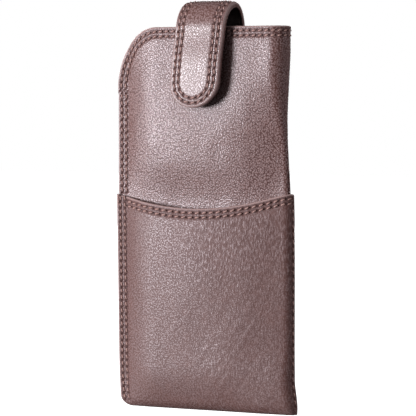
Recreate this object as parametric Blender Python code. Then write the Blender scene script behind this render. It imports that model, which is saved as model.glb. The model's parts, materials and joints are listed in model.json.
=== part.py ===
"""Soft pouch glasses case in leather, with a slip pocket on its front and a strap that snaps over its mouth.

The pouch stands on its foot: +Z runs up to the mouth and -Y is the front. One leather wrap makes the front panel,
the fold at +X and the back panel; its two edges are sewn together at -X. The layers lie inside one another, so every
one of them is a sheet between two skins, each skin a given depth inside the wrap's outer surface.
"""

import math

import bmesh
import bpy
from mathutils import Vector

MM = 0.001
GAP = 0.3 * MM  # between neighbouring pieces

# The pouch
BODY_WIDTH = 85 * MM
BODY_HEIGHT = 175 * MM
BELLY = 7.0 * MM  # half the depth of the filled pouch
MOUTH = 5.6 * MM  # half the depth at the mouth
MOUTH_START = 158 * MM  # height where the pouch begins to narrow towards the mouth
SEAM = 2.1 * MM  # half the depth of the flat sewn edge
SEAM_WIDTH = 6 * MM
PUFF_WIDTH = 22 * MM  # from the seam to the full depth
GAPE = 1.2 * MM  # how far each panel's corner stands off above the end of the seam
FOLD_RADIUS = 4 * MM
CORNER_WIDTH = 23.5 * MM  # of the mouth's rounded corner
CORNER_HEIGHT = 30 * MM
FOOT_RADIUS = 5 * MM  # of the sewn edge's lower corner, seen from the front
FOOT_CURL = 4 * MM  # height over which the walls curl in to the foot
FOOT_SHARE = 0.55  # the foot's depth as a share of the depth above it

# Thickness of each material
LEATHER = 1.0 * MM
FACING = 0.6 * MM
PADDING = 1.2 * MM
LINING = 0.4 * MM

# Depth of each layer's outer skin
INSIDE_LEATHER = LEATHER + GAP
LINING_DEPTH = INSIDE_LEATHER + PADDING + GAP
FACING_HEIGHT = 14 * MM
FACING_RISE = 11 * MM  # over which the facing follows the rounded corner up
PADDING_EDGE = 13 * MM  # from the sewn edge to the padding

# The slip pocket
POCKET_HEM = 98.5 * MM  # height of the hem at its ends
HEM_SAG = 6 * MM
POCKET_ROOM = 4.4 * MM  # clear depth of the pocket at its middle
POCKET_END = 1.74  # the wrap station of the pocket's free edge, round the fold
POCKET_ROW = 1.43  # the wrap station of the stitches that hold it down

# The strap
STRAP_WIDTH = 24 * MM
STRAP_X = 5.9 * MM  # middle of the strap on the back
STRAP_LEAN = 4.8 * MM  # how far the tab's end lies towards the sewn edge
STRAP_HALF = 1.5 * MM  # half the strap's thickness
STRAP_SKIN = 1.0 * MM
CORE = 0.6 * MM
STRAP_LINING = 0.8 * MM
LOOP_HEIGHT = 11.25 * MM  # of the loop's middle line above the bend lines
BEND_HEIGHT = 174 * MM  # of the two lines that the strap bends about
BEND_GAP = 2.2 * MM  # room for a bend
ANCHOR_FOOT = 128 * MM
TAB_FOOT = 138 * MM
ANCHOR_RADIUS = 5 * MM  # of the corners of the strap's sewn end

# The magnetic snap
SNAP_HEIGHT = 150 * MM
STUD_RADIUS = 5.5 * MM
CUP_RADIUS = 7 * MM
CUP_DEPTH = 2.4 * MM
CUP_WALL = 0.4 * MM
SHANK_RADIUS = 1.5 * MM
SHANK_HOLE = 1.8 * MM
CUP_OPENING = 2.9 * MM  # radius of the hole that the stud's boss enters
MAGNET_HOLE = 3.2 * MM
PLATE = 0.7 * MM
BOSS_RADIUS = 2.2 * MM
BOSS_HEIGHT = 1.5 * MM
RIVET_RADIUS = 2.6 * MM
RIVET_HEAD = 0.2 * MM
RIVET_PLAY = 0.15 * MM
WASHER_RADIUS = 5 * MM
WASHER = 0.3 * MM
PATCH_RADIUS = 6 * MM
PATCH = 0.4 * MM
PLAY = 0.25 * MM  # between the thin pieces on the shanks
WINDOW_RADIUS = 6.8 * MM  # hole in the padding and in the core, which the washers sit in

# Threads: two rows along every sewn edge
THREAD_RADIUS = 0.35 * MM
STITCH_ROWS = (2.1 * MM, 4.3 * MM)

EDGE_X = -BODY_WIDTH / 2
FOLD_X = BODY_WIDTH / 2 - FOLD_RADIUS
SEAM_LINE = EDGE_X + SEAM_WIDTH
SEAM_END = BODY_HEIGHT - CORNER_HEIGHT
THREAD_LIFT = GAP + THREAD_RADIUS
POCKET_SKIN = 2 * GAP + LINING + LEATHER  # height of the pocket's outer skin over the wrap where it lies flat

STUD_FRONT = -BELLY - GAP - PLATE
CUP_MOUTH = STUD_FRONT - GAP
CUP_BACK = CUP_MOUTH - CUP_DEPTH
TAB_Y = CUP_BACK - GAP - STRAP_HALF
ANCHOR_Y = BELLY + GAP + STRAP_HALF
LOOP_RADIUS = (ANCHOR_Y - TAB_Y) / 2
LOOP_Y = (ANCHOR_Y + TAB_Y) / 2
LOOP_TRIM = BEND_GAP / (math.pi * LOOP_RADIUS)  # the bend's room as a share of the loop

LEATHER_COLOUR = (0.33, 0.24, 0.24, 1)
LINING_COLOUR = (0.05, 0.04, 0.04, 1)
FOAM_COLOUR = (0.7, 0.68, 0.62, 1)
BOARD_COLOUR = (0.35, 0.27, 0.2, 1)
THREAD_COLOUR = (0.36, 0.22, 0.2, 1)
METAL_COLOUR = (0.62, 0.6, 0.57, 1)


def clamp(value):
    return min(max(value, 0.0), 1.0)


def smooth(value):
    share = clamp(value)
    return share * share * (3 - 2 * share)


def spread(start, end, count):
    """count values from start to end, evenly spaced."""
    return [start + (end - start) * i / (count - 1) for i in range(count)]


# The pouch's shape


def edge_x(z, inset=0.0):
    """x of the sewn edge at height z, rounded at its foot."""
    below = max(FOOT_RADIUS - z, 0.0)
    return EDGE_X + inset + FOOT_RADIUS - math.sqrt(FOOT_RADIUS**2 - min(below, FOOT_RADIUS) ** 2)


def edge_top(x):
    """Height of the panels' top edge at x, rounded at the sewn side."""
    inward = clamp((EDGE_X + CORNER_WIDTH - x) / CORNER_WIDTH)
    return SEAM_END + CORNER_HEIGHT * math.sqrt(1 - inward**2)


def half_depth(x, z):
    """Half the depth of the pouch, flat at the seam and puffed out beyond it."""
    full = BELLY - (BELLY - MOUTH) * smooth((z - MOUTH_START) / (BODY_HEIGHT - MOUTH_START))
    edge = SEAM + GAPE * smooth((z - SEAM_END) / CORNER_HEIGHT)
    puff = clamp((x - SEAM_LINE) / PUFF_WIDTH)
    return edge + (full - edge) * (1 - (1 - puff) ** 2)


def foot_curl(z):
    """Share of its depth that the section keeps at height z above the foot."""
    below = 1 - clamp(z / FOOT_CURL)
    return FOOT_SHARE + (1 - FOOT_SHARE) * math.sqrt(1 - below**2)


def wrap_point(station, z, depth=0.0, inset=0.0, foot=0.0):
    """A point of the pouch's section at height z, depth inside the wrap's outer skin (outside it if negative).

    Stations 0 to 1 cross the front panel from the sewn edge to the fold, 1 to 2 go round the fold and 2 to 3 come
    back across the back panel. foot is the height that the layer itself starts at.
    """
    side = -1 if station < 1.5 else 1
    across = min(station, 3 - station)
    start = edge_x(z, inset)
    x = start + (FOLD_X - start) * min(across, 1)
    inner, outer = max(depth, 0.0), max(-depth, 0.0)
    half = (half_depth(x, z) - inner) * foot_curl(z - foot)
    if across <= 1:
        return Vector((x, side * (half + outer), z))
    radius = min(max(FOLD_RADIUS - inner, 0.4 * MM), 0.9 * half)
    turn = math.radians(90) * clamp((across - 1) / 0.4)
    flat = clamp((across - 1.4) / 0.1)
    y = (half - radius) * (1 - flat) + (radius + outer) * math.cos(turn)
    return Vector((x + (radius + outer) * math.sin(turn), side * y, z))


def across_front():
    """Front stations: close together round the mouth's corner, then across the puffed-out panel."""
    span = FOLD_X - EDGE_X
    corner = [CORNER_WIDTH * (1 - math.cos(math.radians(a))) / span for a in (0, 12, 24, 36, 43.3, 54, 66, 78)]
    return corner + spread(CORNER_WIDTH / span, 1, 7)


def round_fold():
    return [1.13, 1.26, 1.4, 1.6, 1.74, 1.87]


WRAP_STATIONS = across_front() + round_fold() + [3 - s for s in reversed(across_front())]
WALL_ROWS = [0, 0.005, 0.012, 0.023, 0.035, 0.12, 0.28, 0.45, 0.62, 0.78, 0.9, 0.95, 1]


def facing_foot(x):
    """Height of the mouth facing's lower edge, which drops along the rounded corner."""
    low, high = SEAM_END - 2 * MM, BODY_HEIGHT - FACING_HEIGHT
    return low + (high - low) * smooth((x - EDGE_X) / FACING_RISE)


def lining_depth(x):
    """Depth of the lining's outer skin: against the leather in the seam, and under the padding beyond it."""
    return INSIDE_LEATHER + (LINING_DEPTH - INSIDE_LEATHER) * smooth((x - EDGE_X - 7 * MM) / (6 * MM))


# Turning points into solids


def material(name, colour, roughness, metallic=0.0):
    made = bpy.data.materials.get(name) or bpy.data.materials.new(name)
    made.use_nodes = True
    shader = made.node_tree.nodes["Principled BSDF"]
    shader.inputs["Base Color"].default_value = colour
    shader.inputs["Roughness"].default_value = roughness
    shader.inputs["Metallic"].default_value = metallic
    return made


def leather():
    return material("leather", LEATHER_COLOUR, 0.45, 0.3)


def lining_cloth():
    return material("lining", LINING_COLOUR, 0.9)


def foam():
    return material("foam", FOAM_COLOUR, 0.95)


def board():
    return material("board", BOARD_COLOUR, 0.9)


def thread():
    return material("thread", THREAD_COLOUR, 0.6)


def metal():
    return material("metal", METAL_COLOUR, 0.3, 1.0)


def add_object(name, data, finish, parent):
    made = bpy.data.objects.new(name, data)
    bpy.context.scene.collection.objects.link(made)
    data.materials.append(finish)
    made.parent = parent
    made.matrix_parent_inverse = parent.matrix_world.inverted()
    return made


def sheet_solid(name, skins, finish, parent, foot=False):
    """A closed sheet between two skins, each a list of columns of points. foot joins each column's lowest point to
    that of the column as far from the other end, which closes the sheet's underside. It takes an even count."""
    mesh = bmesh.new()
    grids = [[[mesh.verts.new(p) for p in column] for column in skin] for skin in skins]
    columns, rows = len(grids[0]), len(grids[0][0])
    for grid in grids:
        for c in range(columns - 1):
            for r in range(rows - 1):
                mesh.faces.new((grid[c][r], grid[c + 1][r], grid[c + 1][r + 1], grid[c][r + 1]))
        if foot:
            for c in range(columns // 2 - 1):
                mesh.faces.new((grid[c][0], grid[-1 - c][0], grid[-2 - c][0], grid[c + 1][0]))
    rim = [(0, r) for r in range(rows)] + [(c, rows - 1) for c in range(1, columns)]
    rim += [(columns - 1, r) for r in range(rows - 2, -1, -1)]
    if not foot:
        rim += [(c, 0) for c in range(columns - 2, 0, -1)]
    for (c, r), (d, s) in zip(rim, rim[1:] + rim[:1]):
        mesh.faces.new((grids[0][c][r], grids[0][d][s], grids[1][d][s], grids[1][c][r]))
    bmesh.ops.recalc_face_normals(mesh, faces=mesh.faces)
    data = bpy.data.meshes.new(name)
    mesh.to_mesh(data)
    mesh.free()
    data.shade_smooth()
    data.set_sharp_from_angle(angle=math.radians(40))
    return add_object(name, data, finish, parent)


def turned(name, profile, centre, finish, parent, steps=20):
    """A piece turned about the line through centre along Y. profile lists (radius, y) once round its section."""
    mesh = bmesh.new()
    points = [mesh.verts.new((centre[0] + radius, y, centre[1])) for radius, y in profile]
    edges = [mesh.edges.new(pair) for pair in zip(points, points[1:] + points[:1])]
    bmesh.ops.spin(
        mesh,
        geom=points + edges,
        cent=(centre[0], 0, centre[1]),
        axis=(0, 1, 0),
        angle=math.tau,
        steps=steps,
        use_merge=True,
    )
    bmesh.ops.remove_doubles(mesh, verts=mesh.verts, dist=1e-6)
    bmesh.ops.dissolve_degenerate(mesh, edges=mesh.edges, dist=1e-6)
    bmesh.ops.recalc_face_normals(mesh, faces=mesh.faces)
    data = bpy.data.meshes.new(name)
    mesh.to_mesh(data)
    mesh.free()
    data.shade_smooth()
    data.set_sharp_from_angle(angle=math.radians(40))
    return add_object(name, data, finish, parent)


def punch(piece, centre, radius, low_y, high_y):
    """A round hole along Y through the piece between two values of y."""
    profile = [(0, low_y), (radius, low_y), (radius, high_y), (0, high_y)]
    cutter = turned(piece.name + "_punch", profile, centre, metal(), piece.parent)
    cutter.hide_render = True
    cutter.display_type = "WIRE"
    hole = piece.modifiers.new("hole", "BOOLEAN")
    hole.operation = "DIFFERENCE"
    hole.solver = "EXACT"
    hole.object = cutter


def stitch_row(name, points, parent, closed=False):
    """A row of thread, as a plain tube through the given points."""
    curve = bpy.data.curves.new(name, "CURVE")
    curve.dimensions = "3D"
    spline = curve.splines.new("POLY")
    spline.points.add(len(points) - 1)
    for place, point in zip(spline.points, points):
        place.co = (*point, 1)
    spline.use_cyclic_u = closed
    curve.bevel_depth = THREAD_RADIUS
    curve.bevel_resolution = 0
    curve.use_fill_caps = not closed
    return add_object(name, curve, thread(), parent)


# The pouch's layers


def layer(stations, inset, depth, foot, top, rows=WALL_ROWS):
    """One skin of a layer: columns of points at the stations. depth, foot and top are functions of x."""
    columns = []
    for station in stations:
        x = wrap_point(station, BODY_HEIGHT / 2, 0, inset).x
        low, high = foot(x), top(x)
        heights = [low + (high - low) * row for row in rows]
        columns.append([wrap_point(station, z, depth(x), inset, min(low, depth(x))) for z in heights])
    return columns


def pouch_layer(name, outer_depth, thickness, finish, parent, inset=0.0, drop=0.0):
    """A layer that runs from the sewn edge round the fold and back, and closes the foot."""
    deepest = max(outer_depth(FOLD_X), 0.0)

    def skin(extra):
        def depth(x):
            return outer_depth(x) + extra

        def top(x):
            return edge_top(x) if drop == 0 else facing_foot(x) - drop

        return layer(WRAP_STATIONS, inset, depth, lambda x: deepest + extra, top)

    return sheet_solid(name, (skin(0), skin(thickness)), finish, parent, foot=True)


def mouth_facing(parent):
    """The leather strip that backs the mouth's two rows of stitches, inside both panels."""
    inset = 0.8 * MM

    def top(x):
        return edge_top(x) - 0.4 * MM

    skins = [
        layer(WRAP_STATIONS, inset, lambda x, d=depth: d, facing_foot, top, spread(0, 1, 5))
        for depth in (INSIDE_LEATHER, INSIDE_LEATHER + FACING)
    ]
    return sheet_solid("mouth_facing", skins, leather(), parent)


def padding_sheet(name, back, parent):
    """A thin foam sheet between leather and lining, kept clear of the seam, the fold and the facing."""
    first = PADDING_EDGE / (FOLD_X - EDGE_X)
    stations = spread(first, 0.98, 9)
    if back:
        stations = [3 - s for s in stations]

    def top(x):
        return facing_foot(x) - 0.5 * MM

    skins = [
        layer(stations, 0, lambda x, d=depth: d, lambda x: 4 * MM, top, [0, 0.02, 0.1, 0.3, 0.5, 0.7, 0.85, 0.93, 1])
        for depth in (INSIDE_LEATHER, INSIDE_LEATHER + PADDING)
    ]
    return sheet_solid(name, skins, foam(), parent)


# The slip pocket


def hem_height(x):
    """Height of the pocket's scooped hem at x."""
    return POCKET_HEM - HEM_SAG * (1 - clamp(abs(x) / FOLD_X) ** 2)


def pocket_room(x, z):
    """How far the pocket stands off the front panel: nothing at its sewn sides and foot, most at its middle."""
    rise = smooth((x - SEAM_LINE) / (17 * MM)) * smooth((FOLD_X - x) / (14 * MM))
    return POCKET_ROOM * rise * smooth((z - 5 * MM) / (38 * MM))


def pocket_skin(lift, stations, foot, hem_drop, inset=0.0, rows=None):
    """One skin of the pocket, lift outside the wrap where it lies flat. hem_drop is how far below the hem it ends."""
    columns = []
    for station in stations:
        x = wrap_point(station, BODY_HEIGHT / 2, 0, inset).x
        top = hem_height(x) - hem_drop
        column = []
        for row in rows or [0, 0.01, 0.022, 0.04, 0.12, 0.24, 0.36, 0.48, 0.62, 0.76, 0.9, 0.915, 1]:
            z = foot + (top - foot) * row
            point = wrap_point(station, z, -lift, inset)
            if station < 1:
                point.y -= pocket_room(point.x, z)
            column.append(point)
        columns.append(column)
    return columns


def pocket_stations():
    """From the sewn edge across the front and round the fold, to the pocket's free edge."""
    return across_front() + [1.13, 1.26, 1.4, 1.6, POCKET_END]


def pocket_panel(parent):
    """The pocket's leather. Its top edge is turned in, so it is thicker there and covers the lining's edge."""
    stations = pocket_stations()
    outer = pocket_skin(POCKET_SKIN, stations, 0, 0)
    inner = pocket_skin(POCKET_SKIN - LEATHER, stations, 0, 0)
    turned_in = pocket_skin(GAP, stations, 0, 0)
    hem_rows = 2
    for column, hem_column in zip(inner, turned_in):
        column[-hem_rows:] = hem_column[-hem_rows:]
    return sheet_solid("pocket_panel", (outer, inner), leather(), parent)


def pocket_lining(parent):
    """The pocket's lining, which ends below the turned-in hem."""
    stations = across_front() + [1.13, 1.26, 1.4]
    rows = [0, 0.02, 0.05, 0.15, 0.3, 0.45, 0.6, 0.8, 1]
    skins = [
        pocket_skin(lift, stations, 1.2 * MM, 11.5 * MM, 0.8 * MM, rows) for lift in (GAP + LINING, GAP)
    ]
    return sheet_solid("pocket_lining", skins, lining_cloth(), parent)


# Stitch rows on the pouch


def mouth_row(name, row, parent):
    """A row below the mouth's edge: up the front's rounded corner, across, round the fold, and down the back's."""
    points = []
    for angle in spread(math.radians(4), math.radians(90), 9):
        x = EDGE_X + CORNER_WIDTH - (CORNER_WIDTH - row) * math.cos(angle)
        z = SEAM_END + (CORNER_HEIGHT - row) * math.sin(angle)
        station = (x - EDGE_X) / (FOLD_X - EDGE_X)
        points.append((station, z))
    points += [(s, BODY_HEIGHT - row) for s in spread(points[-1][0], 1, 6)[1:]]
    halfway = [(s, BODY_HEIGHT - row) for s in round_fold()]
    back = [(3 - s, z) for s, z in reversed(points)]
    path = [wrap_point(s, z, -THREAD_LIFT) for s, z in points + halfway + back]
    return stitch_row(name, path, parent)


def seam_row(name, row, back, parent):
    """A row up the sewn edge. On the front it climbs off the pocket just above the hem."""
    points = []
    for z in spread(3 * MM, SEAM_END - 1 * MM, 34):
        base = wrap_point(0, z)
        over_pocket = 0 if back else POCKET_SKIN * (1 - smooth((z - POCKET_HEM - 0.8 * MM) / (4 * MM)))
        side = 1 if back else -1
        half = abs(base.y) + over_pocket + THREAD_LIFT
        points.append(Vector((base.x + row, side * half, z)))
    return stitch_row(name, points, parent)


def hem_row(name, row, parent):
    points = []
    for station in pocket_stations()[5:-1]:
        x = wrap_point(station, POCKET_HEM).x
        z = hem_height(x) - row
        point = wrap_point(station, z, -POCKET_SKIN - THREAD_LIFT)
        if station < 1:
            point.y -= pocket_room(point.x, z)
        points.append(point)
    return stitch_row(name, points, parent)


def pocket_side_row(parent):
    """The row that holds the pocket's free edge down on the fold."""
    heights = spread(5 * MM, POCKET_HEM - 7 * MM, 12)
    points = [wrap_point(POCKET_ROW, z, -POCKET_SKIN - THREAD_LIFT) for z in heights]
    return stitch_row("pocket_side_thread", points, parent)


def bartack(parent):
    """Three stitches that bind the end of the pocket's hem over the sewn edge, as one thread from side to side."""
    reach = EDGE_X + 1.3 * MM
    edge = EDGE_X - THREAD_LIFT
    front = -SEAM - POCKET_SKIN - THREAD_LIFT
    back = SEAM + THREAD_LIFT
    points = []
    for i in range(3):
        z = POCKET_HEM - (2 + 2 * i) * MM
        across = [(reach, front, z), (edge, front, z), (edge, back, z), (reach, back, z)]
        points += across if i % 2 == 0 else across[::-1]
    return stitch_row("pocket_bartack", points, parent)


# The strap


def strap_centre(place):
    """(point on the strap's middle line, outward normal). Places 0 to 1 climb the back, 1 to 2 go over the loop and
    2 to 3 come down the front."""
    x = STRAP_X - STRAP_LEAN * clamp((place - 1.5) / 1.5)
    if place <= 1:
        z = ANCHOR_FOOT + (BEND_HEIGHT - ANCHOR_FOOT) * place
        return Vector((x, ANCHOR_Y, z)), Vector((0, 1, 0))
    if place >= 2:
        z = BEND_HEIGHT + (TAB_FOOT - BEND_HEIGHT) * (place - 2)
        return Vector((x, TAB_Y, z)), Vector((0, -1, 0))
    angle = math.pi * (place - 1)
    point = Vector((x, LOOP_Y + LOOP_RADIUS * math.cos(angle), BEND_HEIGHT + LOOP_HEIGHT * math.sin(angle)))
    normal = Vector((0, math.cos(angle) / LOOP_RADIUS, math.sin(angle) / LOOP_HEIGHT)).normalized()
    return point, normal


def strap_skin(places, lift, narrow=0.0, round_at=None, radius=STRAP_WIDTH / 2):
    """One skin of a stretch of strap, lift outside its middle line. round_at is the place of a rounded end."""
    columns = []
    for place in places:
        centre, normal = strap_centre(place)
        half = STRAP_WIDTH / 2
        if round_at is not None:
            inward = max(radius - abs(centre.z - strap_centre(round_at)[0].z), 0.0)
            half += math.sqrt(radius**2 - min(inward, radius) ** 2) - radius
        half = max(half - narrow, 1 * MM)
        columns.append([centre + normal * lift + Vector((w * half, 0, 0)) for w in (-1, -0.5, 0, 0.5, 1)])
    return columns


def strap_stretch(prefix, places, parent, round_at=None, radius=STRAP_WIDTH / 2):
    """The strap's three layers along one stretch that moves as one: leather outside, a board core, a lining."""
    outside = STRAP_HALF
    core_top = outside - STRAP_SKIN - GAP
    lining_top = core_top - CORE - GAP
    layers = (
        ("outer", outside, STRAP_SKIN, 0, leather()),
        ("core", core_top, CORE, 1.2 * MM, board()),
        ("lining", lining_top, STRAP_LINING, 0.3 * MM, lining_cloth()),
    )
    made = {}
    for word, top, thickness, narrow, finish in layers:
        skins = [strap_skin(places, lift, narrow, round_at, radius) for lift in (top, top - thickness)]
        made[word] = sheet_solid(f"{prefix}_{word}", skins, finish, parent)
    return made


def end_places(end, other, radius, length):
    """Places from a rounded end to the other end of a stretch: by angle round the end, then evenly."""
    direction = 1 if other > end else -1
    angles = (10, 25, 40, 55, 70, 90)
    near = [end + direction * radius * (1 - math.cos(math.radians(a))) / length for a in angles]
    return near + spread(near[-1], other, 6)[1:]


def strap_row(name, row, places, side, parent):
    """A straight stitch row along one edge of a stretch. side is -1 or 1."""
    points = []
    for place in places:
        centre, normal = strap_centre(place)
        points.append(centre + normal * (STRAP_HALF + THREAD_LIFT) + Vector((side * (STRAP_WIDTH / 2 - row), 0, 0)))
    return stitch_row(name, points, parent)


def strap_end_row(name, row, last, end, radius, length, parent):
    """A row down one edge of a stretch, round its rounded end and back up the other edge."""
    bend = radius - row
    flat = STRAP_WIDTH / 2 - radius
    direction = 1 if last > end else -1
    turn = [(flat + bend * math.sin(a), radius - bend * math.cos(a)) for a in spread(0, math.pi / 2, 7)]
    reach = abs(last - end) * length
    half = turn + [(flat + bend, d) for d in spread(radius, reach, 6)[1:]]
    path = [(-w, d) for w, d in reversed(half)] + [(w, d) for w, d in half[1 if flat == 0 else 0 :]]
    points = []
    for w, d in path:
        centre, normal = strap_centre(end + direction * d / length)
        points.append(centre + normal * (STRAP_HALF + THREAD_LIFT) + Vector((w, 0, 0)))
    return stitch_row(name, points, parent)


# The magnetic snap


def shank(plate_y, washer_y, direction):
    """Profile of a plate's shank and rivet head, from the plate's edge of the shank to its far end on the axis."""
    head = washer_y + direction * RIVET_PLAY
    end = head + direction * RIVET_HEAD
    return [
        (SHANK_RADIUS, plate_y),
        (SHANK_RADIUS, head),
        (RIVET_RADIUS, head),
        (RIVET_RADIUS, end),
        (0, end),
    ]


def ring(name, low, thickness, inner, outer, centre, finish, parent):
    """A flat ring round the axis of a snap, from y = low."""
    high = low + thickness
    profile = [(inner, low), (outer, low), (outer, high), (inner, high)]
    return turned(name, profile, centre, finish, parent)


def stud(centre, wrap, padding, parent):
    """The snap's stud on the front panel, with its patch and washer behind the leather."""
    behind = -BELLY + LEATHER
    patch = behind + PLAY
    washer = patch + PATCH + PLAY
    plate_back = -BELLY - GAP
    boss = STUD_FRONT - BOSS_HEIGHT
    profile = [(0, boss), (0.6 * BOSS_RADIUS, boss), (BOSS_RADIUS, STUD_FRONT)]
    profile += [(STUD_RADIUS, STUD_FRONT), (STUD_RADIUS, plate_back)]
    profile += shank(plate_back, washer + WASHER, 1)
    turned("snap_stud", profile, centre, metal(), parent)
    ring("snap_stud_washer", washer, WASHER, SHANK_HOLE, WASHER_RADIUS, centre, metal(), parent)
    ring("snap_stud_patch", patch, PATCH, SHANK_HOLE, PATCH_RADIUS, centre, board(), parent)
    punch(wrap, centre, SHANK_HOLE, -BELLY - LEATHER, behind + PLAY / 2)
    punch(padding, centre, WINDOW_RADIUS, -BELLY + LEATHER, -BELLY + LINING_DEPTH + LEATHER)


def socket(centre, layers, parent):
    """The snap's magnet cup under the tab: a can with a ring magnet in it, riveted through the tab's lining."""
    face = CUP_MOUTH - CUP_WALL
    floor = CUP_BACK + CUP_WALL
    room = CUP_RADIUS - CUP_WALL
    lining_back = CUP_BACK - GAP - STRAP_LINING
    washer = lining_back - PLAY - WASHER
    profile = [(0, floor), (room, floor), (room, face), (CUP_OPENING, face), (CUP_OPENING, CUP_MOUTH)]
    profile += [(CUP_RADIUS, CUP_MOUTH), (CUP_RADIUS, CUP_BACK)]
    profile += shank(CUP_BACK, washer, -1)
    turned("snap_socket", profile, centre, metal(), parent)
    thickness = face - floor - 2 * GAP
    ring("snap_magnet", floor + GAP, thickness, MAGNET_HOLE, room - GAP, centre, metal(), parent)
    ring("snap_socket_washer", washer, WASHER, SHANK_HOLE, WASHER_RADIUS, centre, metal(), parent)
    punch(layers["lining"], centre, SHANK_HOLE, lining_back - PLAY, CUP_BACK)
    punch(layers["core"], centre, WINDOW_RADIUS, TAB_Y - STRAP_HALF, TAB_Y + STRAP_HALF)


# Putting it together


def axis_empty(name, location, parent):
    empty = bpy.data.objects.new(name, None)
    bpy.context.scene.collection.objects.link(empty)
    empty.parent = parent
    if parent:
        empty.matrix_parent_inverse = parent.matrix_world.inverted()
    empty.location = location
    bpy.context.view_layer.update()
    return empty


def pouch(case):
    """The wrap, facing, paddings and lining. Returns the wrap and the front padding, which the stud goes through."""
    wrap = pouch_layer("outer_wrap", lambda x: 0.0, LEATHER, leather(), case)
    mouth_facing(case)
    front = padding_sheet("front_padding", False, case)
    padding_sheet("back_padding", True, case)
    pouch_layer("body_lining", lining_depth, LINING, lining_cloth(), case, inset=0.8 * MM, drop=0.5 * MM)
    pocket_panel(case)
    pocket_lining(case)
    for word, row in zip(("outer", "inner"), STITCH_ROWS):
        mouth_row(f"mouth_thread_{word}", row, case)
        seam_row(f"seam_thread_front_{word}", row, False, case)
        seam_row(f"seam_thread_back_{word}", row, True, case)
    for word, row in zip(("upper", "lower"), STITCH_ROWS):
        hem_row(f"pocket_hem_thread_{word}", row, case)
    pocket_side_row(case)
    bartack(case)
    return wrap, front


def strap(case, loop, tab):
    """The strap: sewn to the back, bent over the mouth, and free at the tab. Returns the tab's layers."""
    anchor_length = BEND_HEIGHT - ANCHOR_FOOT
    anchor_top = 1 - BEND_GAP / anchor_length
    places = end_places(0, anchor_top, ANCHOR_RADIUS, anchor_length)
    strap_stretch("strap_anchor", places, case, round_at=0, radius=ANCHOR_RADIUS)
    loop_places = spread(1, 2 - LOOP_TRIM, 15)
    strap_stretch("strap_loop", loop_places, loop)
    tab_length = BEND_HEIGHT - TAB_FOOT
    tab_radius = STRAP_WIDTH / 2
    tab_layers = strap_stretch(
        "strap_tab", end_places(3, 2, tab_radius, tab_length), tab, round_at=3, radius=tab_radius
    )
    for word, row in zip(("outer", "inner"), STITCH_ROWS):
        strap_end_row(f"strap_anchor_thread_{word}", row, 0.88, 0, ANCHOR_RADIUS, anchor_length, case)
        for side, hand in ((-1, "left"), (1, "right")):
            strap_row(f"strap_loop_thread_{hand}_{word}", row, loop_places[2:-2], side, loop)
        strap_end_row(f"strap_tab_thread_{word}", row, 2.08, 3, tab_radius, tab_length, tab)
    return tab_layers


def centre_on_foot(root):
    """Moves the whole case so that the origin is the middle of its box's foot."""
    bpy.context.view_layer.update()
    graph = bpy.context.evaluated_depsgraph_get()
    corners = []
    for piece in bpy.data.objects:
        if piece.type in ("MESH", "CURVE") and not piece.hide_render:
            shape = piece.evaluated_get(graph)
            mesh = shape.to_mesh()
            corners += [shape.matrix_world @ v.co for v in mesh.vertices]
            shape.to_mesh_clear()
    low = Vector([min(c[k] for c in corners) for k in range(3)])
    high = Vector([max(c[k] for c in corners) for k in range(3)])
    root.location = (-(low.x + high.x) / 2, -(low.y + high.y) / 2, -low.z)


def main():
    for old in list(bpy.data.objects):
        bpy.data.objects.remove(old)
    case = axis_empty("glasses_case", (0, 0, 0), None)
    loop = axis_empty("strap_swing_axis", (STRAP_X, ANCHOR_Y, BEND_HEIGHT), case)
    tab = axis_empty("tab_peel_axis", (STRAP_X, TAB_Y, BEND_HEIGHT), loop)
    wrap, front_padding = pouch(case)
    tab_layers = strap(case, loop, tab)
    place = 2 + (BEND_HEIGHT - SNAP_HEIGHT) / (BEND_HEIGHT - TAB_FOOT)
    snap_centre = (strap_centre(place)[0].x, SNAP_HEIGHT)
    stud(snap_centre, wrap, front_padding, case)
    socket(snap_centre, tab_layers, tab)
    centre_on_foot(case)


main()
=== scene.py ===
"""Looks of the soft pouch glasses case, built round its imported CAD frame.

Every soft layer is a fine mesh computed on the same section as the CAD's. Stations 0 to 1 cross
the front panel from the sewn edge at -X, 1 to 2 go round the fold at +X, and 2 to 3 come back
across the back panel. The stitches are real threads between real holes, and the leather is
pressed in under them.
"""

import json
import math

import bpy
import numpy as np
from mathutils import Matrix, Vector, kdtree, noise


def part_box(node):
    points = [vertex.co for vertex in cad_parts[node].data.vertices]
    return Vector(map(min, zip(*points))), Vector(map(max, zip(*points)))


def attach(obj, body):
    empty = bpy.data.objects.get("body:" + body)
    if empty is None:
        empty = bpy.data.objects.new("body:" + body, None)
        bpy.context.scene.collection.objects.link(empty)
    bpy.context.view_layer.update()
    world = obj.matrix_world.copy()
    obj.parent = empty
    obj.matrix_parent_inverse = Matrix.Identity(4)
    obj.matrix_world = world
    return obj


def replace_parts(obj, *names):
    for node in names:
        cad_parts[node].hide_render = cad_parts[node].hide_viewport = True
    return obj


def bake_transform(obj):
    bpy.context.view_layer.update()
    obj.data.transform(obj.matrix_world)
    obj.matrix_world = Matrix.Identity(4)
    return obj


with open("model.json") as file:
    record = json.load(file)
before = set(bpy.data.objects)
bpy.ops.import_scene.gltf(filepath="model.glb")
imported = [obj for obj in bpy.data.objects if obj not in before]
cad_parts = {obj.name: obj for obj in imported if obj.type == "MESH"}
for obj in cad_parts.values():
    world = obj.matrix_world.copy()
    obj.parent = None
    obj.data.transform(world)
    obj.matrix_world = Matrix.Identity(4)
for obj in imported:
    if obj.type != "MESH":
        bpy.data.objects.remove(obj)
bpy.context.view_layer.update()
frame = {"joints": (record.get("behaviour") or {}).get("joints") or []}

MM = 0.001

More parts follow.
